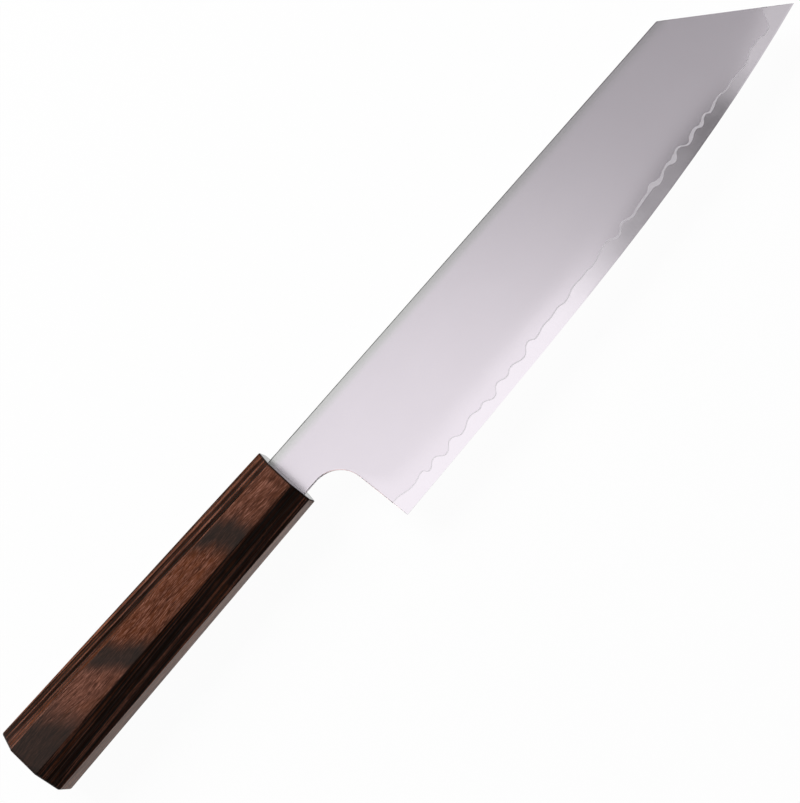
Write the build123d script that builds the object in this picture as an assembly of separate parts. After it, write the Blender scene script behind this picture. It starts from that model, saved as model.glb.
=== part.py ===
from build123d import *
from math import radians, sqrt, tan
import os

os.makedirs("parts", exist_ok=True)

# Kiritsuke kitchen knife with a three-layer blade and an eight-sided handle of laminated wood.
# It lies on its left side: +X runs along the handle's axis to the point, +Y to the spine and
# +Z out of the right side. The origin is the middle of the handle's front face, where the blade
# comes out. Lengths are in millimetres and angles in degrees.

# Blade seen from the side, reaches measured from the handle's front face
blade_reach = 216.8
spine_reach = 185.0
heel_reach = 17.0
spine_height = 7.7
tip_drop = 29.4
heel_drop = 45.1
neck_height = 15.8
choil_lean_angle = 3.9
choil_radius = 10.2
# The cutting edge rises from the heel to the point: shares of its length and of its rise
edge_shares = [(0.0, 0.0), (0.2, 0.066), (0.4, 0.158), (0.6, 0.308), (0.8, 0.574), (1.0, 1.0)]

# Blade seen in section
spine_thickness = 2.0
corner_thickness = 1.5
flat_grind_angle = 0.65
lower_grind_angle = 2.0
edge_bevel_angle = 15.0
edge_bevel_width = 0.5
edge_thickness = 0.1
spine_rounding = 0.3

# Layers: each cladding ends above the edge along a wavy line of its own. Each pair is a crest or a
# trough, its place as a share of the edge's length and its height as a share of lamination_height.
core_thickness = 0.5
lamination_height = 5.0
wave_handle_share = 0.45
right_wave_shares = [
    (0.000, 1.18), (0.042, 0.88), (0.064, 1.03), (0.075, 0.70), (0.093, 1.00), (0.112, 0.56),
    (0.133, 0.96), (0.152, 0.63), (0.181, 0.94), (0.199, 0.77), (0.208, 0.86), (0.228, 0.53),
    (0.247, 0.97), (0.265, 0.76), (0.280, 0.96), (0.305, 0.70), (0.327, 1.14), (0.341, 0.88),
    (0.365, 1.02), (0.378, 0.96), (0.397, 1.03), (0.414, 0.89), (0.441, 1.10), (0.460, 1.03),
    (0.471, 1.05), (0.483, 0.96), (0.524, 1.20), (0.546, 0.80), (0.563, 1.14), (0.584, 0.85),
    (0.596, 0.92), (0.635, 0.96), (0.649, 0.76), (0.675, 1.04), (0.691, 0.79), (0.707, 1.14),
    (0.728, 0.70), (0.749, 0.91), (0.760, 0.69), (0.776, 0.95), (0.786, 0.73), (0.810, 0.89),
    (0.830, 0.69), (0.841, 0.72), (0.875, 0.54), (0.903, 0.79), (0.917, 0.73), (0.937, 0.50),
    (0.970, 1.55),
]
left_wave_shares = [
    (0.000, 0.92), (0.030, 0.66), (0.055, 1.05), (0.081, 0.72), (0.104, 0.95), (0.120, 0.85),
    (0.147, 1.12), (0.168, 0.60), (0.196, 0.98), (0.222, 0.80), (0.243, 1.06), (0.262, 0.64),
    (0.290, 0.90), (0.310, 0.79), (0.338, 1.16), (0.361, 0.86), (0.383, 0.99), (0.404, 0.67),
    (0.430, 1.02), (0.458, 0.90), (0.480, 1.13), (0.502, 0.78), (0.530, 1.00), (0.551, 0.88),
    (0.577, 1.18), (0.600, 0.83), (0.622, 0.97), (0.640, 0.71), (0.668, 1.06), (0.688, 0.86),
    (0.712, 1.01), (0.735, 0.66), (0.756, 0.93), (0.780, 0.77), (0.801, 0.98), (0.823, 0.62),
    (0.850, 0.84), (0.872, 0.70), (0.896, 0.86), (0.920, 0.55), (0.942, 0.66), (0.970, 1.55),
]

# Tang, hidden in the handle
tang_length = 92.0
neck_seat = 9.0
tang_root_height = 11.0
tang_end_height = 7.0
tang_end_thickness = 1.6
tang_end_rounding = 2.0
tang_shoulder_radius = 1.0

# Handle, an eight-sided block that grows wider and thicker towards the butt
handle_length = 122.2
front_width = 22.4
front_thickness = 19.8
front_bevel = 6.4
butt_width = 26.4
butt_thickness = 26.0
butt_bevel = 7.5
front_break = 0.3
butt_break = 0.8
veneer_thickness = 1.25

# Fit of the tang in its slot, and of the glue in the slot's mouth
slot_clearance = 0.35
epoxy_recess = 1.0

# How far a cutting shape runs past what it cuts
overrun = 5.0

heel = Vector(heel_reach, spine_height - heel_drop)
tip = Vector(blade_reach, spine_height - tip_drop)
spine_corner = Vector(spine_reach, spine_height)
edge_places = [
    (heel.X + (tip.X - heel.X) * along, heel.Y + (tip.Y - heel.Y) * up) for along, up in edge_shares
]
edge_curve = Spline(*edge_places)


def corner(face, x, y):
    """The vertex of a face nearest to a place."""
    return face.vertices().sort_by_distance((x, y, 0))[0]


def tang_outline(margin, front):
    """The seated neck and the tang from the side, grown by a margin and reaching forward to a place."""
    neck_top, neck_bottom = spine_height + margin, spine_height - neck_height - margin
    shoulder, end = -neck_seat - margin, -tang_length - margin
    root, far = tang_root_height / 2 + margin, tang_end_height / 2 + margin
    face = make_face(Polyline(
        (front, neck_top), (shoulder, neck_top), (shoulder, root), (end, far),
        (end, -far), (shoulder, -root), (shoulder, neck_bottom), (front, neck_bottom), close=True,
    ))
    face = fillet([corner(face, end, far), corner(face, end, -far)], tang_end_rounding)
    return fillet([corner(face, shoulder, root), corner(face, shoulder, -root)], tang_shoulder_radius)


def blade_outline():
    """The blade and its tang from the side, as one face."""
    neck_bottom = spine_height - neck_height
    choil_x = heel.X - (neck_bottom - heel.Y) * tan(radians(choil_lean_angle))
    blade = make_face([
        edge_curve,
        Line(tip, spine_corner),
        Line(spine_corner, (0, spine_height)),
        Line((0, spine_height), (0, neck_bottom)),
        Line((0, neck_bottom), (choil_x, neck_bottom)),
        Line((choil_x, neck_bottom), heel),
    ])
    return fillet(corner(blade, choil_x, neck_bottom), choil_radius) + tang_outline(0, 0)


def flat_grinds():
    """The space between the two sides, widest where the blade leaves the handle.

    The flats close on each other towards the point and the edge, and the tang's sides towards its end.
    """
    edge_slope = tan(radians(flat_grind_angle))
    blade_slope = (spine_thickness - corner_thickness) / 2 / spine_reach
    tang_slope = (spine_thickness - tang_end_thickness) / 2 / tang_length
    length = 2 * (blade_reach + tang_length)
    space = Box(length, length, 2 * spine_thickness)
    for slope in (blade_slope, -tang_slope):
        right = Plane(origin=(0, spine_height, spine_thickness / 2), z_dir=(slope, -edge_slope, 1))
        left = Plane(origin=(0, spine_height, -spine_thickness / 2), z_dir=(slope, -edge_slope, -1))
        space = split(split(space, right, Keep.BOTTOM), left, Keep.BOTTOM)
    return space


def lower_grinds():
    """The wedge that runs along the edge: the two lower grinds and, below them, the edge's own bevels."""
    def half_thickness(height):
        bevel = edge_thickness / 2 + min(height, edge_bevel_width) * tan(radians(edge_bevel_angle))
        return bevel + max(height - edge_bevel_width, 0) * tan(radians(lower_grind_angle))

    reach = 2 * heel_drop
    heights = [-edge_thickness, edge_bevel_width, reach]
    side = [(height, half_thickness(height)) for height in heights]
    section = make_face(Polyline(*side, *[(height, -half) for height, half in reversed(side)], close=True))
    start, finish = edge_curve % 0, edge_curve % 1
    lead_in = Line(heel - start * (tang_length + heel_reach + overrun), heel)
    lead_out = Line(tip, tip + finish * heel_drop)
    path = Wire([lead_in, edge_curve, lead_out])
    across = Plane(origin=path @ 0, x_dir=(-start.Y, start.X, 0), z_dir=start)
    return sweep(across * section, path)


def above_wave(shares):
    """The region of the blade above a wavy line, as one face."""
    crests = [(edge_curve @ place) + Vector(0, share * lamination_height) for place, share in shares]
    slopes = [edge_curve % place for place, share in shares]
    waves = []
    for here, there, slope_here, slope_there in zip(crests, crests[1:], slopes, slopes[1:]):
        handle = (there - here).length * wave_handle_share
        waves.append(Bezier(here, here + slope_here * handle, there - slope_there * handle, there))
    left, right, top = -tang_length - overrun, blade_reach + overrun, spine_height + overrun
    return make_face([
        Line((left, crests[0].Y), crests[0]),
        *waves,
        Line(crests[-1], (right, crests[-1].Y)),
        Polyline((right, crests[-1].Y), (right, top), (left, top), (left, crests[0].Y)),
    ])


def ground_blade():
    """The whole blade and tang, ground on both sides and rounded along the spine."""
    stock = extrude(blade_outline(), spine_thickness / 2, both=True)
    blade = stock & flat_grinds() & lower_grinds()
    spine = [
        edge for edge in blade.edges()
        if abs(edge.center().Y - spine_height) < core_thickness < abs(edge.center().Z)
    ]
    return fillet(spine, spine_rounding)


def blade_layers():
    """The right cladding, the core and the left cladding, cut out of one ground blade."""
    blade = ground_blade()
    over_core = Pos(0, 0, core_thickness / 2) * extrude(above_wave(right_wave_shares), spine_thickness)
    under_core = Pos(0, 0, -core_thickness / 2) * extrude(above_wave(left_wave_shares), -spine_thickness)
    return blade & over_core, blade - over_core - under_core, blade & under_core


def ring(x, inset):
    """The handle's eight corners at a place along its axis, in order round it, moved in by an inset."""
    share = -x / handle_length
    side = (front_width + (butt_width - front_width) * share) / 2 - inset
    face = (front_thickness + (butt_thickness - front_thickness) * share) / 2 - inset
    bevel = front_bevel + (butt_bevel - front_bevel) * share - inset * (2 - sqrt(2))
    upper = [(side, face - bevel), (side - bevel, face), (bevel - side, face), (-side, face - bevel)]
    return [(x, y, z) for y, z in upper] + [(x, y, -z) for y, z in reversed(upper)]


def handle_block():
    """The whole handle with its edges broken at both ends, before the slot is cut."""
    rings = [
        ring(0, front_break), ring(-front_break, 0),
        ring(butt_break - handle_length, 0), ring(-handle_length, butt_break),
    ]
    outlines = [rings[0], rings[-1]]
    for here, there in zip(rings, rings[1:]):
        outlines += [[here[i - 1], here[i], there[i], there[i - 1]] for i in range(len(here))]
    return Solid(Shell([Face(Wire.make_polygon(points)) for points in outlines]))


def slot(front):
    """The slot for the tang, from a place along the axis to a little past the tang's end."""
    return extrude(tang_outline(slot_clearance, front), spine_thickness / 2 + slot_clearance, both=True)


def veneers():
    """The handle's veneers from the right side to the left. The outermost two take what is left over."""
    handle = handle_block() - slot(overrun)
    count = round(butt_thickness / veneer_thickness)
    joints = [(count / 2 - k) * veneer_thickness for k in range(1, count)]
    tops, bottoms = [butt_thickness, *joints], [*joints, -butt_thickness]
    for top, bottom in zip(tops, bottoms):
        sheet = Box(3 * handle_length, 2 * butt_width, top - bottom)
        yield handle & Pos(0, 0, (top + bottom) / 2) * sheet


right_cladding, blade_core, left_cladding = blade_layers()
tang_epoxy = slot(-epoxy_recess) - right_cladding - blade_core - left_cladding

pieces = {
    "blade_core": blade_core,
    "right_cladding": right_cladding,
    "left_cladding": left_cladding,
    "tang_epoxy": tang_epoxy,
}
for number, veneer in enumerate(veneers(), start=1):
    pieces[f"veneer_{number:02d}"] = veneer

for name, piece in pieces.items():
    piece.label = name
    export_step(piece, f"parts/{name}.step")
    print(name, len(piece.solids()), round(piece.volume, 1))
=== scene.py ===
# %% [markdown]
# # A kiritsuke knife
# This kitchen knife has an angled tip, a blade forged from three layers of steel and an eight-sided
# handle of laminated wood. Its solids were made in CAD and come in as a frame that never moves.
# The lesson measures that frame, builds finer surfaces on it, and gives each layer its own finish.

# %% Load the frame
from functools import partial
from math import ceil, pi, radians, sqrt

import bpy
import numpy as np
from mathutils import Matrix, Vector
from mathutils.bvhtree import BVHTree


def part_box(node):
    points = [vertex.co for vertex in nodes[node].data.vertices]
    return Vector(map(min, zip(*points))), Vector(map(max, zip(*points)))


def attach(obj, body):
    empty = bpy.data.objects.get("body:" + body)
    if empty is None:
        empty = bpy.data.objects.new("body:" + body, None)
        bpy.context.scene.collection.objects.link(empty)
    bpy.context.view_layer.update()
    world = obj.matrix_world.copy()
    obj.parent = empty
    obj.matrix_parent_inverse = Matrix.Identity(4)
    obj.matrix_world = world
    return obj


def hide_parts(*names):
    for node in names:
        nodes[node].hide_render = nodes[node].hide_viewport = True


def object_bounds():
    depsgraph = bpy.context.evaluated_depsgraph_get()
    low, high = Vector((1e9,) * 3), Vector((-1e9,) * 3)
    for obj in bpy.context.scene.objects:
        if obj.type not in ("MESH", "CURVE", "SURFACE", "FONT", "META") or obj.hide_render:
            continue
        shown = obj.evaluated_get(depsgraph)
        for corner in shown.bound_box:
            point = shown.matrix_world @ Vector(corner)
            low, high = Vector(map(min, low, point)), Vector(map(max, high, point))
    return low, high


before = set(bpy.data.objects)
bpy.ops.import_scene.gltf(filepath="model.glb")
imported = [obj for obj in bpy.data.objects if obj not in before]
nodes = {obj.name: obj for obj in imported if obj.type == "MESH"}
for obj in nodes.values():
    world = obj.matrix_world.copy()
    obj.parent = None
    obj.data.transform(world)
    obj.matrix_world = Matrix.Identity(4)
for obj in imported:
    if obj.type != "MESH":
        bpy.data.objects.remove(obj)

MM = 0.001
cad_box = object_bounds()
print("CAD nodes:", len(nodes))
print("CAD box in mm:", [[round(value / MM, 1) for value in corner] for corner in cad_box])

# %% [markdown]
# ## The camera
# The knife lies on its left side, with +X to the point, +Y to the spine and +Z up. The camera looks
# down on it, tipped a little, and rolled so that the knife runs from corner to corner. A long lens
# from about 0.86 m keeps the handle and the point at nearly the same scale. The numbers were found by
# fitting the handle's facets and the blade's outline to the picture.

# %% Place the camera
PICTURE_WIDTH = 800
FOCAL_PIXELS = 2708.7
AIM = Vector((41.84, -11.375, 0.0)) * MM
AIM_DISTANCE = 856.3 * MM
ROLL, PITCH, YAW = radians(49.0), radians(-6.81), radians(-11.88)


def in_scene(name, data):
    """A new object in the scene, made from a mesh, a camera or a lamp."""
    made = bpy.data.objects.new(name, data)
    bpy.context.scene.collection.objects.link(made)
    return made


turn = Matrix.Rotation(YAW, 3, "Y") @ Matrix.Rotation(PITCH, 3, "X") @ Matrix.Rotation(ROLL, 3, "Z")
camera_data = bpy.data.cameras.new("camera")
camera_data.sensor_fit = "HORIZONTAL"
camera_data.sensor_width = 36.0
camera_data.lens = camera_data.sensor_width * FOCAL_PIXELS / PICTURE_WIDTH
camera_data.clip_start, camera_data.clip_end = 0.01, 100.0
camera = in_scene("camera", camera_data)
camera.matrix_world = (
    Matrix.Translation(AIM) @ turn.transposed().to_4x4() @ Matrix.Translation((0, 0, AIM_DISTANCE))
)
bpy.context.scene.camera = camera
print("Camera at (mm):", [round(value / MM, 1) for value in camera.matrix_world.translation])

# %% [markdown]
# ## Measuring the solids with rays
# A ray that is shot at a solid tells where its surface is. Rays along Y find the blade's outline and
# the line where each cladding ends, and rays along Z find how thick the blade is. Measuring, instead
# of repeating numbers, keeps the new surfaces on the solids whatever size the knife is.

# %% Shoot rays at the solids
FAR_START, NEAR_START = 200, 50


def ray_tree(*names):
    """A search tree, in millimetres, over the triangles of some CAD nodes."""
    points, faces = [], []
    for name in names:
        mesh = nodes[name].data
        first = len(points)
        points += [vertex.co / MM for vertex in mesh.vertices]
        faces += [[first + index for index in face.vertices] for face in mesh.polygons]
    return BVHTree.FromPolygons(points, faces)


def across(tree, places, height, from_side):
    """Where rays along Y first meet a solid, one for each place along X. from_side is 1 or -1."""
    found = []
    for x in places:
        place = tree.ray_cast(Vector((x, from_side * FAR_START, height)), Vector((0, -from_side, 0)))[0]
        found.append(place.y if place else np.nan)
    return np.array(found)


def thickness_at(tree, x, y):
    """How far above the middle of the blade a solid's top is."""
    return tree.ray_cast(Vector((x, y, NEAR_START)), Vector((0, 0, -1)))[0].z


core_tree = ray_tree("blade_core")
right_tree = ray_tree("right_cladding")
left_tree = ray_tree("left_cladding")
blade_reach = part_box("blade_core")[1].x / MM
spine_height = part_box("blade_core")[1].y / MM
print("The point is", round(blade_reach, 1), "mm from the handle")

# %% Find the outline and the lamination lines
BLADE_START = -3.0
FINE_STEP = 0.05
HALF_CORE = 0.25
LAYER_HEIGHT = HALF_CORE + 0.0005

fine_x = np.arange(BLADE_START, blade_reach, FINE_STEP)
outline_low = across(core_tree, fine_x, 0.0, -1)
outline_high = across(core_tree, fine_x, 0.0, 1)
inside = ~np.isnan(outline_low) & ~np.isnan(outline_high)
fine_x, outline_low, outline_high = (a[inside] for a in (fine_x, outline_low, outline_high))
heel_x, heel_y = fine_x[outline_low.argmin()], outline_low.min()
print("Heel at", round(float(heel_x), 2), round(float(heel_y), 2))

# %% [markdown]
# ## The blade's section
# Each side of the blade is a flat that leans in towards the edge, and below it a lower grind that
# leans in a little more, with a narrow bevel at the very edge. On the real blade the stone blends the
# flat into the lower grind, so the two are joined here by a soft minimum instead of a crease. The
# edges of the spine, the choil and the tip are rounded, because a polishing wheel always softens them.

# %% Measure the flat and the lower grind
flat_spots = [(30.0, 5.0), (150.0, 5.0), (90.0, -15.0)]
flat_rows = np.array([[1.0, x, y] for x, y in flat_spots])
flat_fit = np.linalg.solve(flat_rows, [thickness_at(right_tree, x, y) for x, y in flat_spots])

edge_places = fine_x[fine_x >= heel_x]
edge_heights = outline_low[fine_x >= heel_x]
edge_slopes = np.gradient(edge_heights, edge_places)


def edge_gap(x, y):
    """How far a place on the blade is from the cutting edge, or from its line carried on past the heel."""
    height = np.interp(x, edge_places, edge_heights)
    slope = np.interp(x, edge_places, edge_slopes)
    height = np.where(x < heel_x, heel_y + slope * (x - heel_x), height)
    return (y - height) / np.sqrt(1 + slope**2)


GRIND_SPOT = 60.0
grind_gaps = np.array([0.05, 0.45, 0.6, 2.0])
grind_edge = float(np.interp(GRIND_SPOT, edge_places, edge_heights))
grind_slope = float(np.interp(GRIND_SPOT, edge_places, edge_slopes))
grind_tops = np.array([
    thickness_at(core_tree, GRIND_SPOT, grind_edge + gap * sqrt(1 + grind_slope**2)) for gap in grind_gaps
])
bevel_rate = (grind_tops[1] - grind_tops[0]) / (grind_gaps[1] - grind_gaps[0])
grind_rate = (grind_tops[3] - grind_tops[2]) / (grind_gaps[3] - grind_gaps[2])
print("Flat:", flat_fit.round(4), " edge bevel:", bevel_rate.round(3), " lower grind:", grind_rate.round(4))

# %% Write the section as one function
GRIND_BLEND = 0.10
WALL_ROUNDING = 0.40
TIP_ROUNDING = 0.15
SPINE_ROUNDING = 0.35
SPINE_SOFTNESS_WIDTH, SPINE_SOFTNESS_DROP = 3.5, 0.10
THINNEST = 0.02
FAR_OFF = 99.0

wall = fine_x <= heel_x
wall_points = np.column_stack([fine_x[wall], outline_low[wall]])
wall_lengths = np.concatenate([[0], np.cumsum(np.hypot(*np.diff(wall_points, axis=0).T))])
wall_steps = np.arange(0, wall_lengths[-1], FINE_STEP)
wall_points = np.column_stack([np.interp(wall_steps, wall_lengths, wall_points[:, k]) for k in (0, 1)])

corner_x = fine_x[outline_high >= spine_height - 0.01].max()
tip_y = float(outline_low[-1])
tip_along = np.array([blade_reach - corner_x, tip_y - spine_height])
tip_across = np.array([tip_along[1], -tip_along[0]]) / np.hypot(*tip_along)


def wall_gap(x, y):
    """How far a place is inside the choil and the heel's front, or a large number where that is far off."""
    gaps = np.full(x.shape, FAR_OFF)
    near = x < heel_x + 2
    spots = np.column_stack([x[near], y[near]])
    if len(spots):
        parts = np.array_split(spots, ceil(len(spots) / 2000))
        gaps[near] = np.concatenate([
            np.sqrt(((part[:, None] - wall_points[None]) ** 2).sum(2).min(1)) for part in parts
        ])
    outside = (x < heel_x) & (y < np.interp(x, fine_x, outline_low))
    return np.where(outside, 0, gaps)


def rounded_off(gap, radius):
    """How far a rounded edge of this radius drops below the surface, at some distance from the edge."""
    into = np.clip(radius - gap, 0, radius)
    return radius - np.sqrt(np.maximum(radius**2 - into**2, 0))


def half_thickness(x, y):
    """Half the blade's thickness at places (x, y), all in millimetres."""
    flat = flat_fit[0] + flat_fit[1] * np.maximum(x, 0) + flat_fit[2] * y
    gap = np.maximum(edge_gap(x, y), 0)
    grind = grind_tops[2] + grind_rate * (gap - grind_gaps[2])
    mix = np.clip(0.5 + 0.5 * (grind - flat) / GRIND_BLEND, 0, 1)
    top = grind + (flat - grind) * mix - GRIND_BLEND * mix * (1 - mix)
    bevel = grind_tops[0] + bevel_rate * (gap - grind_gaps[0])
    top = np.where(x > heel_x - 0.5, np.minimum(top, bevel), top)
    tip_gap = np.maximum((x - corner_x) * tip_across[0] + (y - spine_height) * tip_across[1], 0)
    spine_gap = np.maximum(spine_height - y, 0)
    softness = np.clip(1 - spine_gap / SPINE_SOFTNESS_WIDTH, 0, 1)
    top = top - SPINE_SOFTNESS_DROP * softness**2
    drop = rounded_off(spine_gap, SPINE_ROUNDING) + rounded_off(tip_gap, TIP_ROUNDING)
    drop = drop + rounded_off(wall_gap(x, y), np.minimum(WALL_ROUNDING, 0.7 * top))
    return np.maximum(top - drop, THINNEST)


for spot in ((5.0, 0.0), (90.0, 0.0), (90.0, -30.0), (180.0, 0.0)):
    x, y = np.array([spot[0]]), np.array([spot[1]])
    print("Half thickness at", spot, "is", half_thickness(x, y).round(3)[0], "mm")

# %% [markdown]
# ## Laying a grid over the blade
# The outline is walked in even steps, and at each step a column of points goes from the edge to the
# spine. Columns follow the choil and the wavy line closely, because the steps are even along the line
# and not along X. Normals are worked out from the section's slope and stored on the faces, so that a
# polished surface reflects smoothly, whatever the grid.

# %% Make columns and rows
COLUMN_STEP = 0.35
SMALLEST = 0.02
STEEPEST = 8.0


def walk(places, line, step):
    """Places along X that are evenly spaced along a line."""
    lengths = np.concatenate([[0], np.cumsum(np.hypot(np.diff(places), np.diff(line)))])
    count = max(2, ceil(lengths[-1] / step))
    return np.interp(np.linspace(0, lengths[-1], count + 1), lengths, places)


def columns_of(low, high):
    """Column places along X for a piece between two lines, denser at the heel's front and just past the heel."""
    kept = ~np.isnan(low) & ~np.isnan(high) & (high - low > SMALLEST)
    places, line = fine_x[kept], low[kept]
    before, after = places <= heel_x, places >= heel_x
    start = walk(places[before], line[before], COLUMN_STEP)
    finish = walk(places[after], line[after], COLUMN_STEP)
    ends = heel_x + np.array([0.04, 0.08, 0.12, 0.17, 0.23])
    return np.unique(np.concatenate([start, ends, finish]).round(4)), places, line, high[kept]


def steepness(xs, line):
    """How much further apart points across a sloping line are along Y than they are straight across it."""
    return np.minimum(np.sqrt(1 + np.gradient(line, xs) ** 2), STEEPEST)


def rows_between(xs, low, high, low_steps, high_steps, between):
    """Heights of each column's points: fine steps at both ends and even ones between."""
    length = np.maximum(high - low, SMALLEST)
    low_stretch, high_stretch = steepness(xs, low), steepness(xs, high)
    wanted = 2.2 * (low_steps[-1] * low_stretch + high_steps[-1] * high_stretch)
    scale = np.minimum(1, length / wanted)
    lower = low[:, None] + (scale * low_stretch)[:, None] * np.array(low_steps)
    upper = (low + length)[:, None] - (scale * high_stretch)[:, None] * np.array(high_steps)[::-1]
    shares = np.linspace(0, 1, between + 2)[1:-1]
    middle = lower[:, -1:] + (upper[:, :1] - lower[:, -1:]) * shares
    return np.hstack([lower, middle, upper])


def ground(xs, rows, side, least=0.0, most=FAR_OFF):
    """Points of a ground face on one side of the blade, and normals from the section's slope."""
    x = np.repeat(xs[:, None], rows.shape[1], axis=1)
    points = np.stack([x, rows, side * half_thickness(x, rows).clip(least, most)], axis=-1)
    nudge = 0.01
    y = np.clip(rows, rows[:, :1] + nudge, np.maximum(rows[:, -1:] - nudge, rows[:, :1] + nudge))
    slope_x = (half_thickness(x + nudge, y) - half_thickness(x - nudge, y)) / (2 * nudge)
    slope_y = (half_thickness(x, y + nudge) - half_thickness(x, y - nudge)) / (2 * nudge)
    normals = np.stack([-slope_x, -slope_y, np.ones_like(slope_x)], axis=-1)
    normals /= np.linalg.norm(normals, axis=-1, keepdims=True)
    return points, normals * np.array([1, 1, side])


# %% Build closed pieces from columns
def loft(name, loops, sides, normals, flip):
    """A closed mesh from loops of points, one a column. sides numbers the loop's smooth runs."""
    count, size = loops.shape[:2]
    faces, smooth = [], []
    for column in range(count - 1):
        near, far = column * size, (column + 1) * size
        for here in range(size):
            there = (here + 1) % size
            faces.append([near + here, near + there, far + there, far + here])
            smooth.append(sides[here] == sides[there] != 0)
    faces += [list(range(size))[::-1], [(count - 1) * size + k for k in range(size)]]
    smooth += [False, False]
    if flip:
        faces = [face[::-1] for face in faces]
    mesh = bpy.data.meshes.new(name)
    mesh.from_pydata((loops.reshape(-1, 3) * MM).tolist(), [], faces)
    mesh.polygons.foreach_set("use_smooth", smooth)
    flat_normals = normals.reshape(-1, 3)
    corners = []
    for polygon, soft in zip(mesh.polygons, smooth):
        corners += [flat_normals[index].tolist() if soft else [0, 0, 0] for index in polygon.vertices]
    mesh.normals_split_custom_set(corners)
    return in_scene(name, mesh)


def number_on(piece, name, values):
    """Stores one number a point on a mesh, for its material to read."""
    attribute = piece.data.attributes.new(name, "FLOAT", "POINT")
    attribute.data.foreach_set("value", np.asarray(values, np.float32).ravel())


print("Columns and rows are ready")

# %% [markdown]
# ## The claddings
# A cladding is soft steel, welded to each side of the core and ground away near the edge until the
# core shows. Where it runs out, the line is wavy, because hammering makes the layers uneven. Each
# piece is a closed shell: the ground outside, the spine and choil walls, and the flat inside against
# the core. Every point also stores how far above the wavy line it is, which the finish needs.

# %% Build the two claddings
LINE_SMOOTHING = 4.0
CLADDING_LOW = [0, 0.02, 0.05, 0.1, 0.16, 0.23, 0.31, 0.4, 0.55, 0.8, 1.2, 1.8, 2.6, 3.6, 5, 7]
CLADDING_HIGH = [0, 0.02, 0.05, 0.1, 0.16, 0.23, 0.31, 0.36, 0.5, 0.8, 1.2, 1.7, 2.3, 3, 3.8]
THINNEST_CLADDING = 0.0002
BEFORE_HEEL, WELL_ABOVE = 0.4, 30.0


def smoothed(values, width):
    """Numbers at the fine places along X, each averaged with its neighbours over a width."""
    reach = np.arange(-3 * width, 3 * width + FINE_STEP, FINE_STEP)
    weights = np.exp(-0.5 * (reach / width) ** 2)
    half = len(reach) // 2
    padded = np.pad(values, half, mode="edge")
    return np.convolve(padded, weights / weights.sum(), mode="same")[half:half + len(values)]


def cladding(name, tree, side):
    """One cladding on the +Z side (1) or the -Z side (-1). Returns it with its lower line and columns."""
    low = across(tree, fine_x, side * LAYER_HEIGHT, -1)
    high = across(tree, fine_x, side * LAYER_HEIGHT, 1)
    xs, places, line, top = columns_of(low, high)
    xs = xs[(xs >= places[0]) & (xs <= places[-1])]
    rows = rows_between(
        xs, np.interp(xs, places, line), np.interp(xs, places, top), CLADDING_LOW, CLADDING_HIGH, 14
    )
    outside, normals = ground(xs, rows, side, least=HALF_CORE + THINNEST_CLADDING)
    inside_low, inside_high = outside[:, :1].copy(), outside[:, -1:].copy()
    inside_low[..., 2] = inside_high[..., 2] = side * HALF_CORE
    loops = np.concatenate([outside, inside_high, inside_low], axis=1)
    normals = np.concatenate([normals, np.zeros_like(normals[:, :2])], axis=1)
    piece = loft(name, loops, [1] * rows.shape[1] + [0, 0], normals, side > 0)
    soft_line = np.interp(xs, places, smoothed(edge_gap(places, line), LINE_SMOOTHING))
    above = edge_gap(loops[..., 0], loops[..., 1]) - soft_line[:, None]
    number_on(piece, "above_line", np.where(loops[..., 0] < heel_x - BEFORE_HEEL, WELL_ABOVE, above))
    print(name, len(xs), "columns,", len(piece.data.polygons), "faces")
    return piece, places, line, xs


right_side, right_places, right_line, right_columns = cladding("cladding_right", right_tree, 1)
left_side, left_places, left_line, left_columns = cladding("cladding_left", left_tree, -1)

# %% [markdown]
# ## The core
# The core is hard steel. It shows as the polished strip along the edge on both sides, and as a thin
# line between the claddings along the spine and the choil. It is one closed loft again, whose loop
# goes up one side, round the hidden slab between the claddings, and down the other side.

# %% Build the core
CORE_LOW = [0, 0.12, 0.24, 0.36, 0.46, 0.54, 0.7, 1.0]
CORE_HIGH = [0, 0.15, 0.35, 0.6, 1.0]


def core_side(xs, low, high, places, line, side):
    """The exposed strip of the core on one side, from the edge up to the wavy line."""
    wave = np.interp(xs, places, line, right=FAR_OFF).clip(low, high)
    rows = rows_between(xs, low, wave, CORE_LOW, CORE_HIGH, 5)
    return ground(xs, rows, side, most=HALF_CORE + 10 * np.maximum(wave - low - SMALLEST, 0)[:, None])


xs, places, low_line, high_line = columns_of(outline_low, outline_high)
low, high = np.interp(xs, places, low_line), np.interp(xs, places, high_line)
right_points, right_normals = core_side(xs, low, high, right_places, right_line, 1)
left_points, left_normals = core_side(xs, low, high, left_places, left_line, -1)
right_top, left_top = right_points[:, -1, 1], left_points[:, -1, 1]
slab = np.stack([
    np.column_stack([xs, heights, np.full_like(xs, side)]) for heights, side in (
        (right_top, 1), (np.maximum(high, right_top), 1), (np.maximum(high, left_top), -1), (left_top, -1),
    )
], axis=1)
slab[..., 2] *= np.minimum(HALF_CORE, half_thickness(slab[..., 0], np.minimum(slab[..., 1], spine_height - 1)))
loops = np.concatenate([right_points, slab, left_points[:, ::-1]], axis=1)
normals = np.concatenate([right_normals, np.zeros_like(slab), left_normals[:, ::-1]], axis=1)
sides = [1] * right_points.shape[1] + [0] * slab.shape[1] + [2] * left_points.shape[1]
core = loft("core", loops, sides, normals, True)
print("core:", len(core.data.polygons), "faces")

# %% [markdown]
# ## Helpers for node trees
# Geometry and materials are both made of nodes. Small helpers keep the recipes short. They add to the
# tree in hand, which each recipe chooses at its start. An input takes a value, another node's output,
# or a node, which stands for its first output. Of a geometry tree only the plain mesh is kept.

# %% Add nodes to the tree in hand
def work_on(new_tree):
    """Empties a node tree and makes it the one that the helpers add to."""
    global tree
    tree = new_tree
    tree.nodes.clear()
    return tree


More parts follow.
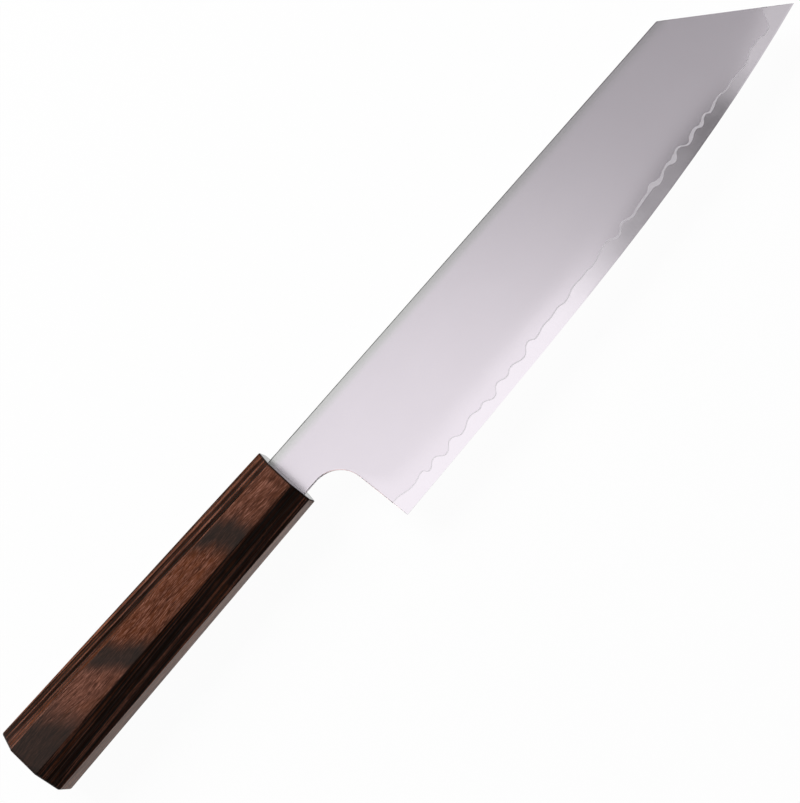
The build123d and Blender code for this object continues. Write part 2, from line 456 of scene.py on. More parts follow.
def fill(made, inputs):
    """Fills a node's inputs. Each is given by its socket's name or number."""
    for key, value in inputs.items():
        socket = made.inputs[key]
        if isinstance(value, bpy.types.Node):
            value = value.outputs[0]
        if isinstance(value, bpy.types.NodeSocket):
            tree.links.new(value, socket)
        else:
            socket.default_value = (*value, 1.0) if socket.type == "RGBA" else value
    return made


def node(kind, inputs=None, **settings):
    """Adds a node, sets its options and fills its inputs. Shader nodes go by their short names."""
    made = tree.nodes.new(kind if "Node" in kind else "ShaderNode" + kind)
    for key, value in settings.items():
        setattr(made, key, value)
    return fill(made, inputs or {})


def geo(kind, inputs=None, **settings):
    """Adds a node of the kinds that only geometry trees have."""
    return node("GeometryNode" + kind, inputs, **settings)


def calc(operation, *values):
    """Adds a Math node."""
    return node("Math", dict(enumerate(values)), operation=operation)


plus, minus, times = (partial(calc, operation) for operation in ("ADD", "SUBTRACT", "MULTIPLY"))


def combined(x=0.0, y=0.0, z=0.0):
    """A vector from its three parts."""
    return node("CombineXYZ", {"X": x, "Y": y, "Z": z})


def separated(vector):
    """The parts of a vector, by the names X, Y and Z."""
    return node("SeparateXYZ", {0: vector}).outputs


# %% Make and run geometry trees
def geometry_tree(name, numbers, others):
    """A geometry tree with named inputs. Returns it with its input sockets and its output node."""
    made = work_on(bpy.data.node_groups.new(name, "GeometryNodeTree"))
    for label, kind in {"Geometry": "Geometry", **dict.fromkeys(numbers, "Float"), **others}.items():
        made.interface.new_socket(label, in_out="INPUT", socket_type="NodeSocket" + kind)
    made.interface.new_socket("Geometry", in_out="OUTPUT", socket_type="NodeSocketGeometry")
    return made, node("NodeGroupInput").outputs, node("NodeGroupOutput")


def end_tree(result, mesh, finish, smooth):
    """Ends a geometry tree with a real mesh, smooth or flat, in a material."""
    real = geo("RealizeInstances", {"Geometry": mesh})
    shaded = geo("SetShadeSmooth", {"Geometry": real, "Shade Smooth": smooth})
    fill(result, {"Geometry": geo("SetMaterial", {"Geometry": shaded, "Material": finish})})


def run_tree(piece, recipe, values):
    """Runs a geometry tree on a piece and swaps the piece's mesh for the plain mesh that comes out."""
    sockets = {item.name: item.identifier for item in recipe.interface.items_tree if item.in_out == "INPUT"}
    modifier = piece.modifiers.new("tree", "NODES")
    modifier.node_group = recipe
    for label, value in values.items():
        modifier[sockets[label]] = value
    bpy.context.view_layer.update()
    evaluated = piece.evaluated_get(bpy.context.evaluated_depsgraph_get())
    mesh = bpy.data.meshes.new_from_object(evaluated)
    piece.modifiers.clear()
    piece.data = mesh
    mesh.name = piece.name


print("Helpers are ready")

# %% [markdown]
# ## The transition band
# Between the cladding and the core a pale, frosted band follows the wavy line, where carbon wandered
# from the hard steel into the soft one. On the side in the photograph its width is read off at places
# along the blade. The far side doesn't show, so there it follows a rule: the band widens where the
# cladding's teeth reach down, as if its upper edge were a smoothed copy of the line. Geometry Nodes
# turn the line into a strip, drop the strip onto the cladding with rays and give it some thickness.

# %% Find the band's width on each side
BAND_THIN, BAND_MIDDLE, BAND_GAIN = 0.42, 0.80, 0.8
BAND_SMOOTHING = 2.2
BAND_START, BAND_FULL, BAND_FADE, BAND_END = 112.0, 132.0, 178.0, 192.0
# Each pair is a place along X and the band's width there, on the side that the photograph shows
RIGHT_BAND = [
    (112.0, 0.42), (122.0, 0.45), (126.0, 0.75), (130.5, 0.60), (133.2, 0.85), (135.9, 0.70), (139.5, 0.90),
    (142.6, 0.75), (143.7, 1.50), (145.8, 1.90), (147.2, 1.55), (149.0, 1.00), (151.7, 0.60), (154.6, 1.40),
    (156.2, 1.95), (157.6, 0.75), (160.2, 0.45), (161.8, 0.50), (163.2, 0.75), (163.9, 1.60), (165.3, 1.20),
    (167.9, 0.75), (169.7, 1.35), (172.4, 0.55), (173.8, 0.60), (176.0, 0.95), (178.8, 0.45), (192.0, 0.42),
]


def band_widths(places, line):
    """The band's width at each place: a thin line near the heel and the point, wider in between."""
    gap = edge_gap(places, line)
    wide = np.maximum(BAND_GAIN * (smoothed(gap, BAND_SMOOTHING) - gap) + BAND_MIDDLE, BAND_THIN)
    share = np.interp(places, [BAND_START, BAND_FULL, BAND_FADE, BAND_END], [0, 1, 1, 0])
    return BAND_THIN + (wide - BAND_THIN) * share


# %% Make the band's tree
DROP_START, DROP_LENGTH = 10 * MM, 20 * MM
WELD_DISTANCE = 1e-7
band_tree, given, result = geometry_tree(
    "Transition band", ["Side", "Lift", "Depth"], {"Surface": "Object", "Finish": "Material"}
)
width = geo("InputNamedAttribute", {"Name": "band_width"}, data_type="FLOAT")
strip = geo("ExtrudeMesh", {
    "Mesh": given["Geometry"], "Offset": combined(y=width.outputs["Attribute"]), "Offset Scale": 1.0,
}, mode="EDGES")
fine_strip = geo("SubdivideMesh", {"Mesh": strip, "Level": 2})
start = node("VectorMath", {
    0: geo("InputPosition"), 1: combined(z=times(given["Side"], DROP_START)),
}, operation="ADD")
drop = geo("Raycast", {
    "Target Geometry": geo("ObjectInfo", {"Object": given["Surface"]}).outputs["Geometry"],
    "Source Position": start, "Ray Direction": combined(z=times(given["Side"], -1.0)), "Ray Length": DROP_LENGTH,
}).outputs
missed = node("FunctionNodeBooleanMath", {0: drop["Is Hit"]}, operation="NOT")
pruned = geo("DeleteGeometry", {"Geometry": fine_strip, "Selection": missed})
laid = geo("SetPosition", {
    "Geometry": pruned, "Selection": drop["Is Hit"], "Position": drop["Hit Position"],
    "Offset": combined(z=times(given["Side"], given["Lift"])),
})
normal_z = separated(geo("InputNormal"))["Z"]
inwards = calc("LESS_THAN", times(normal_z, given["Side"]), 0.0)
top = geo("FlipFaces", {"Mesh": laid, "Selection": inwards})
walls = geo("ExtrudeMesh", {
    "Mesh": top, "Offset": combined(z=times(given["Side"], times(given["Depth"], -1.0))),
    "Offset Scale": 1.0, "Individual": False,
}, mode="FACES")
joined = geo("JoinGeometry", {0: top})
fill(joined, {0: geo("FlipFaces", {"Mesh": walls})})
closed = geo("MergeByDistance", {"Geometry": joined, "Distance": WELD_DISTANCE})
end_tree(result, closed, given["Finish"], False)
print("Band tree:", len(band_tree.nodes), "nodes")

# %% Run it on both sides
BAND_LIFT, BAND_DEPTH = 0.012 * MM, 0.03 * MM
OVER_LINE, PAST_HEEL = 0.01, 0.3
frosted = bpy.data.materials.new("frosted_transition")


def band(name, surface_piece, places, line, widths, columns, side):
    """The transition band of one side, as a thin strip on that side's cladding."""
    xs = columns[columns >= heel_x - PAST_HEEL]
    ys, widths = np.interp(xs, places, line), np.interp(xs, places, widths)
    points = np.column_stack([xs, ys + OVER_LINE, np.full_like(xs, side)]) * MM
    mesh = bpy.data.meshes.new(name)
    mesh.from_pydata(points.tolist(), [(k, k + 1) for k in range(len(xs) - 1)], [])
    piece = in_scene(name, mesh)
    number_on(piece, "band_width", widths * MM)
    run_tree(piece, band_tree, {
        "Surface": surface_piece, "Side": float(side), "Lift": BAND_LIFT, "Depth": BAND_DEPTH, "Finish": frosted,
    })
    print(name, len(piece.data.polygons), "faces")
    return piece


right_widths = smoothed(np.interp(right_places, *zip(*RIGHT_BAND)), 0.2)
left_widths = band_widths(left_places, left_line)
right_band = band("transition_band_right", right_side, right_places, right_line, right_widths, right_columns, 1)
left_band = band("transition_band_left", left_side, left_places, left_line, left_widths, left_columns, -1)

# %% [markdown]
# ## The handle
# The handle is a block of dyed veneers pressed together with resin, sawn to a long tapered octagon
# and buffed. Its shape follows a rule, so a node tree makes it: one octagon for each end, rounded a
# little at its corners, and rings between them that shrink at the ends to round those off as well.
# Every size is measured on the CAD veneers, so the octagon lies just inside them.

# %% Measure the handle
veneers = sorted(name for name in nodes if name.startswith("veneer_"))
wood_tree = ray_tree(*veneers)
handle_length = -min(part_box(name)[0].x for name in veneers) / MM
ON_BEVEL = 0.85


def handle_section(x):
    """The handle's half width, half height and bevel cut at a place along X, in millimetres."""
    width = wood_tree.ray_cast(Vector((x, NEAR_START, 0)), Vector((0, -1, 0)))[0].y
    height, spot = thickness_at(wood_tree, x, 0), ON_BEVEL * width
    top = thickness_at(wood_tree, x, spot)
    return np.array([width, height, width + height - spot - top])


NEAR_FRONT, NEAR_BUTT = -2.0, 2.0 - handle_length
change = (handle_section(NEAR_BUTT) - handle_section(NEAR_FRONT)) / (NEAR_BUTT - NEAR_FRONT)
front_section = handle_section(NEAR_FRONT) - change * NEAR_FRONT
butt_section = front_section - change * handle_length
slot_low, slot_high = (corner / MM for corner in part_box("tang_epoxy"))
print("Front:", front_section.round(2), "butt:", butt_section.round(2), "length:", round(handle_length, 1))

# %% Make the handle's tree
END_STEPS, MIDDLE_STEPS, CORNER_STEPS = 8, 24, 6
EIGHTH = pi / 4
handle_tree, size, result = geometry_tree("Eight-sided handle", [
    "Length", "Front Width", "Front Height", "Front Cut", "Butt Width", "Butt Height", "Butt Cut",
    "Corner Rounding", "Front Rounding", "Butt Rounding",
], {"Slot Size": "Vector", "Slot Middle": "Vector", "Finish": "Material"})


def octagon(end):
    """A closed curve of eight sides with rounded corners. Each corner's place follows from its number."""
    angle = times(plus(geo("InputIndex"), 0.5), EIGHTH)
    sideways, upwards = calc("COSINE", angle), calc("SINE", angle)
    beside = calc("GREATER_THAN", calc("ABSOLUTE", sideways), calc("ABSOLUTE", upwards))
    y = minus(size[end + " Width"], times(size[end + " Cut"], minus(1.0, beside)))
    z = minus(size[end + " Height"], times(size[end + " Cut"], beside))
    corner = combined(times(calc("SIGN", sideways), y), times(calc("SIGN", upwards), z))
    circle = geo("MeshCircle", {"Vertices": 8})
    placed = geo("SetPosition", {"Geometry": circle, "Position": corner})
    return geo("FilletCurve", {
        "Curve": geo("MeshToCurve", {"Mesh": placed}), "Count": CORNER_STEPS,
        "Radius": size["Corner Rounding"],
    }, mode="POLY")


def mixed(share, first, second):
    """A number between two others."""
    return node("Mix", {0: share, 2: first, 3: second}, clamp_factor=False)


front_octagon, butt_octagon = octagon("Front"), octagon("Butt")

# %% Sweep rings from the front octagon to the butt octagon
stations = 2 * END_STEPS + MIDDLE_STEPS + 1
straight = geo("CurvePrimitiveLine", {"End": (-1.0, 0.0, 0.0)})
path = geo("ResampleCurve", {"Curve": straight, "Count": stations})
swept = geo("CurveToMesh", {"Curve": path, "Profile Curve": front_octagon, "Fill Caps": True})
number = plus(geo("InputIndex"), 0.5)
ring_size = geo("AttributeDomainSize", {"Geometry": front_octagon}, component="CURVE").outputs["Point Count"]
station = calc("FLOOR", calc("DIVIDE", number, ring_size))
on_ring = calc("FLOOR", calc("MODULO", number, ring_size))


def clamped(value):
    """A number kept between 0 and 1."""
    return node("Clamp", {"Value": value})


def rounded_end(first, step, rounding):
    """How far a ring of one end's quarter circle is set back from the face, and drawn in from the side."""
    angle = times(clamped(times(minus(station, first), step / END_STEPS)), pi / 2)
    return [times(rounding, minus(1.0, calc(part, angle))) for part in ("COSINE", "SINE")]


front_reach, front_inset = rounded_end(0.0, 1.0, size["Front Rounding"])
butt_reach, butt_inset = rounded_end(float(stations - 1), -1.0, size["Butt Rounding"])
middle = clamped(calc("DIVIDE", minus(station, float(END_STEPS)), float(MIDDLE_STEPS)))
plain_length = minus(minus(size["Length"], size["Front Rounding"]), size["Butt Rounding"])
along = plus(plus(front_reach, times(middle, plain_length)), minus(size["Butt Rounding"], butt_reach))
inset = plus(front_inset, butt_inset)
share = calc("DIVIDE", along, size["Length"])

# %% Place the rings, cut the slot and dress the handle
front_corner, butt_corner = (
    separated(geo("SampleIndex", {
        "Geometry": curve, "Value": geo("InputPosition"), "Index": on_ring,
    }, data_type="FLOAT_VECTOR", domain="POINT"))
    for curve in (front_octagon, butt_octagon)
)
spots = []
for axis, label in ((0, "Width"), (1, "Height")):
    spot = mixed(share, front_corner[axis], butt_corner[axis])
    half = mixed(share, size["Front " + label], size["Butt " + label])
    spots.append(times(spot, minus(1.0, calc("DIVIDE", inset, half))))
rings = geo("SetPosition", {
    "Geometry": swept, "Position": combined(times(along, -1.0), *spots),
})
cutter = geo("MeshCube", {"Size": size["Slot Size"]})
cutter = geo("Transform", {"Geometry": cutter, "Translation": size["Slot Middle"]})
slotted = geo("MeshBoolean", {"Mesh 1": rings, "Mesh 2": cutter}, operation="DIFFERENCE")
end_tree(result, slotted, size["Finish"], True)
print("Handle tree:", len(handle_tree.nodes), "nodes")

# %% Run the handle's tree
SHARP_ANGLE = radians(40)
SLOT_PAST_FRONT = 1.0
wood = bpy.data.materials.new("laminated_wood")
handle = in_scene("handle", bpy.data.meshes.new("handle"))
slot_size = (slot_high - slot_low) + Vector((SLOT_PAST_FRONT, 0, 0))
slot_middle = (slot_high + slot_low) / 2 + Vector((SLOT_PAST_FRONT / 2, 0, 0))
run_tree(handle, handle_tree, {
    "Length": handle_length * MM, "Corner Rounding": 0.5 * MM, "Front Rounding": 0.4 * MM,
    "Butt Rounding": 1.0 * MM, "Slot Size": slot_size * MM, "Slot Middle": slot_middle * MM, "Finish": wood,
    **{f"{end} {label}": float(value) * MM for end, section in (("Front", front_section), ("Butt", butt_section))
       for label, value in zip(("Width", "Height", "Cut"), section)},
})
handle.data.set_sharp_from_angle(angle=SHARP_ANGLE)
even = handle.modifiers.new("even facets", "WEIGHTED_NORMAL")
even.keep_sharp = True
print("handle:", len(handle.data.polygons), "faces")

# %% Mark the handle's worn edges
normals = np.array([vertex.normal for vertex in handle.data.vertices])
around = np.arctan2(normals[:, 2], normals[:, 1]) / EIGHTH
beside_facet = 2 * np.abs(around - np.round(around)) * (1 - np.abs(normals[:, 0]))
tipped = np.arcsin(np.clip(np.abs(normals[:, 0]), 0, 1)) / (pi / 2)
beside_end = 1 - np.abs(2 * tipped - 1)
marks = np.maximum(beside_facet, beside_end)
number_on(handle, "edge", marks)
print("The marks reach", marks.max().round(2))

# %% [markdown]
# ## Finishes
# Each finish is one shader and some patterns. A pattern reads Object coordinates, turned into
# millimetres, and is stretched along the knife where the real one runs that way: grain follows the
# veneer, and polishing marks follow the wheel.

# %% Helpers for finishes
def blank(owner):
    """Gives a material or a world an empty node tree, and works on it."""
    owner.use_nodes = True
    work_on(owner.node_tree)
    return owner


def shader_on(material, inputs):
    """Starts a material afresh with one shader, some of whose inputs have one value all over."""
    blank(material)
    shader = node("BsdfPrincipled", inputs)
    node("OutputMaterial", {"Surface": shader})
    return shader


def place_in_mm():
    """Where a spot is on the knife, in millimetres."""
    where = node("TexCoord").outputs["Object"]
    return node("VectorMath", {0: where, 1: (1 / MM,) * 3}, operation="MULTIPLY")


def noise(stretch, detail=3.0, roughness=0.5, distortion=0.0, where=None):
    """A noise between 0 and 1. stretch is how many times a millimetre it changes along each axis."""
    spot = place_in_mm() if where is None else where
    return node("TexNoise", {
        "Vector": node("VectorMath", {0: spot, 1: stretch}, operation="MULTIPLY"),
        "Scale": 1.0, "Detail": detail, "Roughness": roughness, "Distortion": distortion,
    })


def wander(amount, stretch, **settings):
    """A noise around 0, by as much as half the amount to either side."""
    return times(minus(noise(stretch, **settings), 0.5), amount)


def spread(value, low, high, new_low=0.0, new_high=1.0, smooth=False):
    """Maps a range of numbers onto another and stops at its ends."""
    return node("MapRange", {
        "Value": value, "From Min": low, "From Max": high, "To Min": new_low, "To Max": new_high,
    }, interpolation_type="SMOOTHSTEP" if smooth else "LINEAR")


def blended(share, first, second):
    """Mixes two colours, by a share from 0 to 1."""
    return node("Mix", {0: share, 6: first, 7: second}, data_type="RGBA").outputs[2]


def ramp(value, stops, kind="LINEAR"):
    """A colour picked by a number from 0 to 1. stops are pairs of a place and a colour."""
    made = node("ValToRGB", {"Fac": value})
    made.color_ramp.interpolation = kind
    while len(made.color_ramp.elements) < len(stops):
        made.color_ramp.elements.new(0.5)
    for element, (spot, colour) in zip(made.color_ramp.elements, stops):
        element.position = spot
        element.color = (*colour, 1.0)
    return made


def finish_with(shader, colour, roughness, height, depth):
    """Gives a shader its patterns. The relief's depth is in millimetres."""
    relief = node("Bump", {"Height": height, "Distance": depth * MM, "Strength": 1.0})
    fill(shader, {"Base Color": colour, "Roughness": roughness, "Normal": relief})


def stored(name):
    """A number stored on the mesh."""
    return node("Attribute", attribute_name=name).outputs["Fac"]


print("Finishes can start")

# %% [markdown]
# ## Laminated wood
# The handle's colour comes from its make-up. Each veneer, 1.25 mm thick, took up the dye in its own
# way, and a thin dark line of resin lies between two of them. The facets on top and below are nearly
# level with the veneers, so they cut those lines at a shallow angle and show them as broad dark
# patches. The slanted facets show them as stripes.

# %% Dye the veneers
VENEER = 1.25
VENEER_LEAN, VENEER_FACE_LEAN = 0.042, 0.016
VENEER_SHIFT = 0.07
VENEER_TONES = [0.60, 0.58, 0.66, 0.20, 0.95, 0.10, 0.90, 0.00]
VENEER_HUES = [0.55, 0.00, 1.00, 0.50, 0.60, 0.30, 0.70, 0.50]
SOAK_START, SOAK_FULL = -95.0, -109.0
LOW_SPECULAR, END_SPECULAR = 0.06, 0.60


def stepped(value, shades):
    """Picks one of some shades in turn, by the whole part of a number, and starts over after the last."""
    turn_share = calc("FLOORED_MODULO", calc("DIVIDE", value, float(len(shades))), 1.0)
    return ramp(turn_share, [(k / len(shades), (shade,) * 3) for k, shade in enumerate(shades)], "CONSTANT")


shader = shader_on(wood, {"Specular IOR Level": LOW_SPECULAR})
xyz = separated(place_in_mm())
facing = separated(node("TexCoord").outputs["Normal"])
on_end, on_side, on_face = (spread(calc("ABSOLUTE", facing[axis]), 0.80, 0.95) for axis in "XYZ")
ripple = wander(0.45, (0.016, 0.07, 0.07), detail=1.0)
lean = spread(on_face, 0.0, 1.0, VENEER_LEAN, VENEER_FACE_LEAN)
height = plus(plus(minus(xyz["Z"], times(xyz["Y"], lean)), VENEER_SHIFT), ripple)
layer = plus(calc("DIVIDE", height, VENEER), 0.5)
tone, hue = stepped(layer, VENEER_TONES), stepped(layer, VENEER_HUES)

# Resin lies between the layers, with a ragged border, and has soaked into the butt
nearest = calc("ABSOLUTE", minus(layer, calc("ROUND", layer)))
ragged = wander(0.14, (0.10, 0.5, 0.5), roughness=0.6)
resin = spread(plus(nearest, ragged), 0.03, 0.20, 1.0, 0.0, smooth=True)
soak_place = plus(wander(16.0, (0.06, 0.30, 0.30)), plus(xyz["X"], times(xyz["Y"], 0.4)))
soak = times(spread(soak_place, SOAK_START, SOAK_FULL, smooth=True), on_face)
resin = calc("MAXIMUM", resin, soak)
print("Layers of", VENEER, "mm:", len(VENEER_TONES), "tones in turn")

# %% Draw the grain
curl = wander(5.0, (0.03, 0.06, 0.03), detail=1.0)
grain = combined(xyz["X"], plus(xyz["Y"], curl), height)
bands = noise((0.010, 0.10, 1.05), roughness=0.6, where=grain)
edge_lines = noise((0.06, 0.5, 3.4), detail=4.0, roughness=0.70, where=grain)
face_dashes = noise((0.28, 3.4, 2.4), detail=4.0, roughness=0.65, where=grain)
face_patches = noise((0.09, 0.8, 0.5), detail=4.0, roughness=0.6, distortion=0.3, where=grain)
figure = noise((0.04, 0.14, 0.14), detail=2.0, distortion=1.2)
cells = noise((0.22, 2.4, 2.4), roughness=0.6, where=grain)
on_edge = minus(1.0, on_face)
light_lines = times(spread(edge_lines, 0.50, 0.66, 0.0, 0.85), on_edge)
light_lines = times(light_lines, spread(tone, 0.05, 0.60, 0.25, 1.0))
dark_lines = times(spread(edge_lines, 0.35, 0.47, 0.85, 0.0), on_edge)
black_bands = times(spread(bands, 0.42, 0.51, 0.94, 0.0), on_edge)
light_dashes = times(spread(face_dashes, 0.48, 0.66, 0.0, 0.85), on_face)
# Painted shade: the top and bottom facets are darkened towards the edge side, broken up by the grain
shade = times(spread(xyz["Y"], -1.5, -5.0, 0.0, 0.42, smooth=True), on_face)
shade = times(shade, spread(edge_lines, 0.35, 0.65, 1.0, 0.5))
worn = spread(stored("edge"), 0.3, 1.0, 0.0, 0.25)
# Painted shade: the last millimetre of the front, where the handle meets the blade, and the rounded butt are
# darkened
painted_front_shade = times(spread(xyz["X"], -0.7, -0.35, 0.0, 0.85), minus(1.0, on_side))
painted_butt_shade = spread(xyz["X"], 1.2 - handle_length, 0.5 - handle_length, 0.0, 0.7)

# %% Lay the colours over each other
BLACK_DYE, RED_BROWN, ROSE_BROWN = (0.010, 0.003, 0.0015), (0.165, 0.048, 0.019), (0.190, 0.076, 0.050)
brown = blended(tone, BLACK_DYE, blended(hue, RED_BROWN, ROSE_BROWN))
for share, colour in (
    (spread(figure, 0.52, 0.70, 0.0, 0.45), (0.210, 0.064, 0.024)),
    (spread(face_patches, 0.38, 0.55, 0.62, 0.0), (0.040, 0.012, 0.007)),
    (light_dashes, (0.320, 0.138, 0.096)),
    (light_lines, (0.250, 0.108, 0.074)),
    (spread(cells, 0.36, 0.47, 0.60, 0.0), (0.022, 0.008, 0.004)),
    (dark_lines, (0.010, 0.004, 0.002)),
    # painted shade on the flat facets towards the edge side
    (shade, (0.022, 0.008, 0.004)),
    (black_bands, (0.006, 0.0025, 0.001)),
    (times(resin, 0.87), (0.018, 0.0165, 0.015)),
    (worn, (0.15, 0.070, 0.045)),
    # painted shade at the handle's front and butt
    (calc("MAXIMUM", painted_front_shade, painted_butt_shade), (0.010, 0.007, 0.006)),
):
    brown = blended(share, brown, colour)
shine = plus(spread(face_patches, 0.3, 0.7, 0.44, 0.36), times(resin, -0.06))
shine = minus(minus(shine, times(worn, 0.3)), times(painted_front_shade, 0.28))
fill(shader, {"Specular IOR Level": spread(on_end, 0.0, 1.0, LOW_SPECULAR, END_SPECULAR)})
finish_with(shader, brown, shine, plus(face_dashes, cells), 0.012)
print("Wood:", len(tree.nodes), "nodes")

# %% [markdown]
# ## Steel
# Both steels reflect nearly all the light, with a faint pink cast that the studio gives them. What
# tells them apart is how finely they are ground: the core is polished until it mirrors, the cladding
# is brushed to a satin, and the band between them is etched dull. The cladding gets smoother close
# to the wavy line, where the polishing of the edge reaches. Along the spine its colour is painted a
# little darker and greener, as painted shade for the darker reflection of the rounded spine. Its
# roughness stays below 0.27: the renderer cleans noise in another way above that, and a faint line
# would show where the two ways meet.

# %% Brush the cladding
METAL = {"Metallic": 1.0}
cladding_steel = bpy.data.materials.new("cladding_steel")
shader = shader_on(cladding_steel, METAL)
brushing = noise((0.05, 7.0, 7.0), roughness=0.7)
clouds = noise((0.05, 0.07, 0.07))
xyz = separated(place_in_mm())
# Painted shade: darker, greener steel along the spine, fading towards the point
painted_spine_shade = spread(xyz["Y"], spine_height - 4.5, spine_height - 0.3, smooth=True)
painted_spine_shade = times(painted_spine_shade, spread(xyz["X"], 60.0, 180.0, 1.0, 0.25))
steel = blended(clouds, (0.848, 0.788, 0.853), (0.878, 0.817, 0.883))
steel = blended(times(spread(brushing, 0.3, 0.7), 0.10), steel, (0.73, 0.68, 0.735))
satin = spread(stored("above_line"), -1.5, 9.0, 0.13, 0.252, smooth=True)
steel = blended(painted_spine_shade, steel, (0.745, 0.748, 0.740))
satin_lines = plus(satin, spread(brushing, 0.2, 0.8, -0.012, 0.012))
finish_with(shader, steel, satin_lines, times(brushing, spread(satin, 0.17, 0.25)), 0.0006)
print("Cladding:", len(tree.nodes), "nodes")

# %% Polish the core and etch the band
core_steel = bpy.data.materials.new("core_steel")
shader = shader_on(core_steel, METAL)
hone = noise((5.0, 0.35, 0.35), roughness=0.6)
haze = noise((0.12, 0.2, 0.2))
steel = blended(haze, (0.905, 0.848, 0.910), (0.935, 0.880, 0.940))
steel = blended(spread(hone, 0.5, 0.8, 0.0, 0.12), steel, (0.78, 0.74, 0.79))
polish = plus(spread(haze, 0.3, 0.7, 0.085, 0.12), spread(hone, 0.3, 0.7, -0.01, 0.02))
finish_with(shader, steel, polish, hone, 0.0003)

shader = shader_on(frosted, METAL)
frost = noise((2.2, 2.2, 2.2), detail=4.0, roughness=0.7)
dull = spread(separated(place_in_mm())["X"], BAND_START, BAND_FULL, 0.29, 0.50)
dull = plus(dull, spread(frost, 0.3, 0.7, 0.0, 0.10))
finish_with(shader, blended(frost, (0.80, 0.76, 0.81), (0.93, 0.885, 0.935)), dull, frost, 0.0015)
print("Core and band are done")

# %% [markdown]
# ## Resin in the slot
# The tang sits in the handle in dark epoxy. Only a thin glossy rim shows round the blade, slightly
# cloudy where air was trapped.

# %% Pour the epoxy
epoxy = bpy.data.materials.new("epoxy")
shader = shader_on(epoxy, {"Specular IOR Level": 0.4})
cloudy = noise((0.8, 0.8, 0.8))
dark = blended(cloudy, (0.010, 0.009, 0.008), (0.030, 0.027, 0.024))
finish_with(shader, dark, spread(cloudy, 0.3, 0.7, 0.25, 0.40), cloudy, 0.02)

# %% Give each piece its finish and its place in the frame
def dress(piece, material, slot, *replaced):
    """Puts a finish on a piece, lets it ride on the frame and hides the CAD nodes that it stands for."""
    if material.name not in piece.data.materials:
        piece.data.materials.clear()
        piece.data.materials.append(material)
    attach(piece, "root")
    if replaced:
        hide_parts(*replaced)


dress(right_side, cladding_steel, "cladding_steel", "right_cladding")
dress(left_side, cladding_steel, "cladding_steel", "left_cladding")
dress(core, core_steel, "core_steel", "blade_core")
dress(right_band, frosted, "cladding_steel")
dress(left_band, frosted, "cladding_steel")
dress(handle, wood, "laminated_wood", *veneers)
for slot in nodes["tang_epoxy"].material_slots:
    slot.material = epoxy

# %% [markdown]
# ## The studio
# The knife lies on a pale floor under a plain white surround. A mirror shows what stands round it, so
# polished steel needs something grey to reflect or it would vanish into the white. Each ground face
# of the blade leans its own way and sees its own card overhead. The card's shades along X decide how
# bright the face is from the heel to the point. Small cards on the floor darken the curve in front of
# the heel and tint the handle's low sides, a black one stands beside the spine, and a wall all round
# keeps the slanted facets dark. One large lamp lights the wood.

# %% Floor and surround
FLOOR_SHINE = 0.965
FLOOR_COLOUR = (0.8, 0.8, 0.8)
FILL_LIGHT = 0.12
FLOOR_REACH = 6000
WHITE = (1.0, 1.0, 1.0)
floor_height = cad_box[0][2] / MM


def seen_or_mirrored():
    """1 for rays that the camera, a mirror or glass sends out, 0 for the ones that carry light."""
    rays = node("LightPath").outputs
    straight_rays = calc("MAXIMUM", rays["Is Camera Ray"], rays["Is Glossy Ray"])
    return calc("MAXIMUM", straight_rays, rays["Is Transmission Ray"])


def flat_piece(name, points):
    """A flat piece of the studio from its four corners, in millimetres."""
    mesh = bpy.data.meshes.new(name)
    mesh.from_pydata([tuple(value * MM for value in point) for point in points], [], [(0, 1, 2, 3)])
    piece = in_scene(name, mesh)
    return piece


def level(start, end, near, far, height):
    """The corners of a level rectangle, from start to end along X and from near to far along Y."""
    return [(start, near, height), (end, near, height), (end, far, height), (start, far, height)]


floor = flat_piece("floor", level(-FLOOR_REACH, FLOOR_REACH, -FLOOR_REACH, FLOOR_REACH, floor_height))
pale = blank(bpy.data.materials.new("pale_floor"))
plain = node("BsdfDiffuse", {"Color": FLOOR_COLOUR})
white = node("Emission", {"Color": WHITE, "Strength": 1.0})
share = times(seen_or_mirrored(), FLOOR_SHINE)
node("OutputMaterial", {"Surface": node("MixShader", {0: share, 1: plain, 2: white})})
floor.data.materials.append(pale)

bpy.context.scene.world = blank(bpy.data.worlds.new("surround"))
strength = spread(seen_or_mirrored(), 0.0, 1.0, FILL_LIGHT, 1.0)
light = node("Background", {"Color": WHITE, "Strength": strength})
node("OutputWorld", {"Surface": light})
print("Floor at", round(floor_height, 2), "mm")

# %% Make cards
def card(name, points, shades, tint=WHITE):
    """A card that only reflections see. shades gives its brightness at places along X, in millimetres."""
    piece = flat_piece(name, points)
    piece.visible_camera = piece.visible_diffuse = piece.visible_shadow = False
    piece.visible_transmission = piece.visible_volume_scatter = False
    piece.data.materials.append(blank(bpy.data.materials.new(name)))
    first, last = shades[0][0], shades[-1][0]
    along_card = spread(separated(place_in_mm())["X"], first, last)
    stops = [((spot - first) / (last - first), [shade * part for part in tint]) for spot, shade in shades]
    glow = node("Emission", {"Color": ramp(along_card, stops), "Strength": 1.0})
    node("OutputMaterial", {"Surface": glow})


def level_card(name, near, far, height, shades, tint=WHITE):
    """A level card that is as long as its shades reach, from one place along Y to another."""
    card(name, level(shades[0][0], shades[-1][0], near, far, height), shades, tint)


def upright_card(name, start, end, low, top, shades):
    """An upright card over the line between two places on the floor."""
    card(name, [(*start, low), (*end, low), (*end, top), (*start, top)], shades)


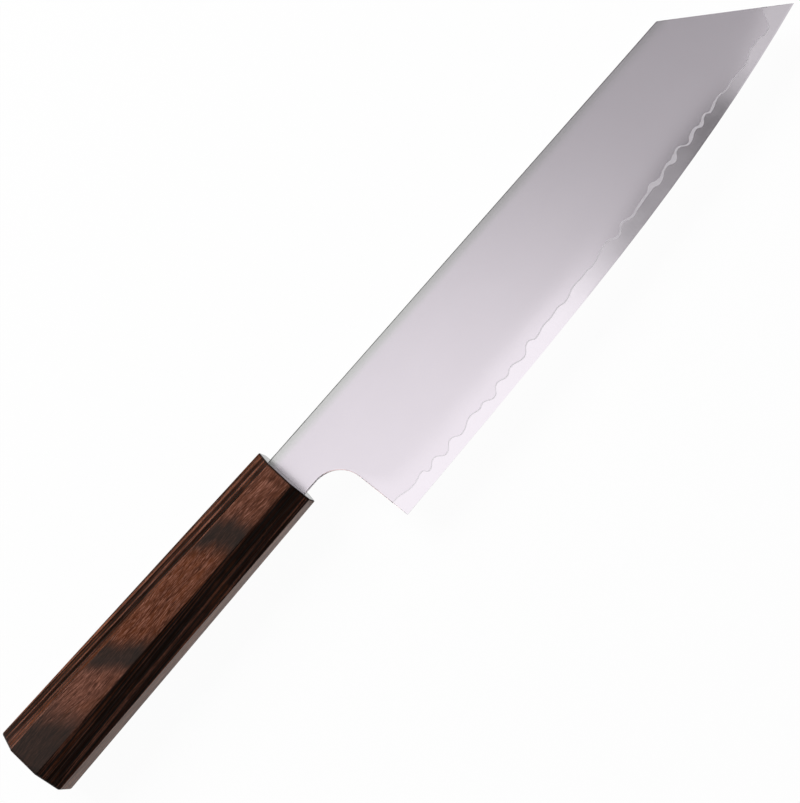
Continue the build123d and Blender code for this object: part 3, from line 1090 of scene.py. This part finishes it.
# %% Cards for the steel to reflect
CARD_HEIGHT = 1000.0
BESIDE = floor_height + 0.3
BLACK = 0.015
level_card("edge_card", -60, 165, CARD_HEIGHT, [
    (130, 1.0), (145, 0.86), (178, 0.49), (200, 0.31), (220, 0.32), (242, 0.37), (262, 0.20), (300, 0.11),
    (311, 0.34), (322, 0.68), (350, 0.63), (370, 0.58), (900, 0.56),
])
level_card("bevel_card", -1200, -60, CARD_HEIGHT, [
    (145, 1.0), (160, 0.86), (210, 0.49), (236, 0.31), (262, 0.32), (288, 0.37), (313, 0.20), (364, 0.11),
    (378, 0.34), (392, 0.68), (430, 0.63), (900, 0.56),
])
level_card("line_card", 165, 230, CARD_HEIGHT, [(145, 1.0), (200, 0.41), (260, 0.52), (320, 0.50), (900, 0.50)])
level_card("flat_card", 230, 800, CARD_HEIGHT, [
    (-120, 0.74), (-70, 0.84), (-10, 0.91), (60, 0.78), (125, 0.44), (170, 0.26), (300, 0.48), (420, 0.08),
    (900, 0.28),
])
upright_card("spine_card", (-160, 60), (240, 60), floor_height, 100, [(-160, BLACK), (240, BLACK)])
level_card("choil_card", -60, -11.2, BESIDE, [(-2, 0.02), (14, 0.05), (28, 0.20), (40, 0.45), (60, 0.60)])
level_card("neck_card", -11.2, 0, BESIDE, [(5, 0.03), (30, 0.25)])
level_card("edge_strip", -70, -14, BESIDE, [(-126, 1.35), (0, 2.5)], (1.0, 0.81, 0.74))
level_card("spine_strip", 14, 60, BESIDE, [(-126, BLACK), (0, BLACK)])

WALL_DISTANCE, WALL_TOP, NEAR_WALL_TOP, WALL_SHADE = 2000.0, 1060.0, 2000.0, 0.03
corners = [(x * WALL_DISTANCE, y * WALL_DISTANCE) for x, y in ((-1, -1), (1, -1), (1, 1), (-1, 1))]
for number in range(4):
    upright_card(
        f"low_wall_{number}", corners[number], corners[(number + 1) % 4], floor_height + 1,
        WALL_TOP if number else NEAR_WALL_TOP, [(-WALL_DISTANCE, WALL_SHADE), (WALL_DISTANCE, WALL_SHADE)],
    )
print("Cards overhead at", CARD_HEIGHT, "mm, walls", WALL_TOP, "mm high")

# %% The lamp
KEY_PLACE = Vector((-30.0, 900.0, 900.0)) * MM
KEY_POWER, KEY_SIZE = 19.5, 0.7
lamp_data = bpy.data.lights.new("key_lamp", "AREA")
lamp_data.shape = "SQUARE"
lamp_data.size, lamp_data.energy = KEY_SIZE, KEY_POWER
lamp = in_scene("key_lamp", lamp_data)
lamp.location = KEY_PLACE
lamp.rotation_euler = (-KEY_PLACE).to_track_quat("-Z", "Y").to_euler()
lamp.visible_glossy = False
bpy.context.scene.view_settings.view_transform = "Standard"
print("Lamp at (mm):", [round(value / MM) for value in lamp.location])
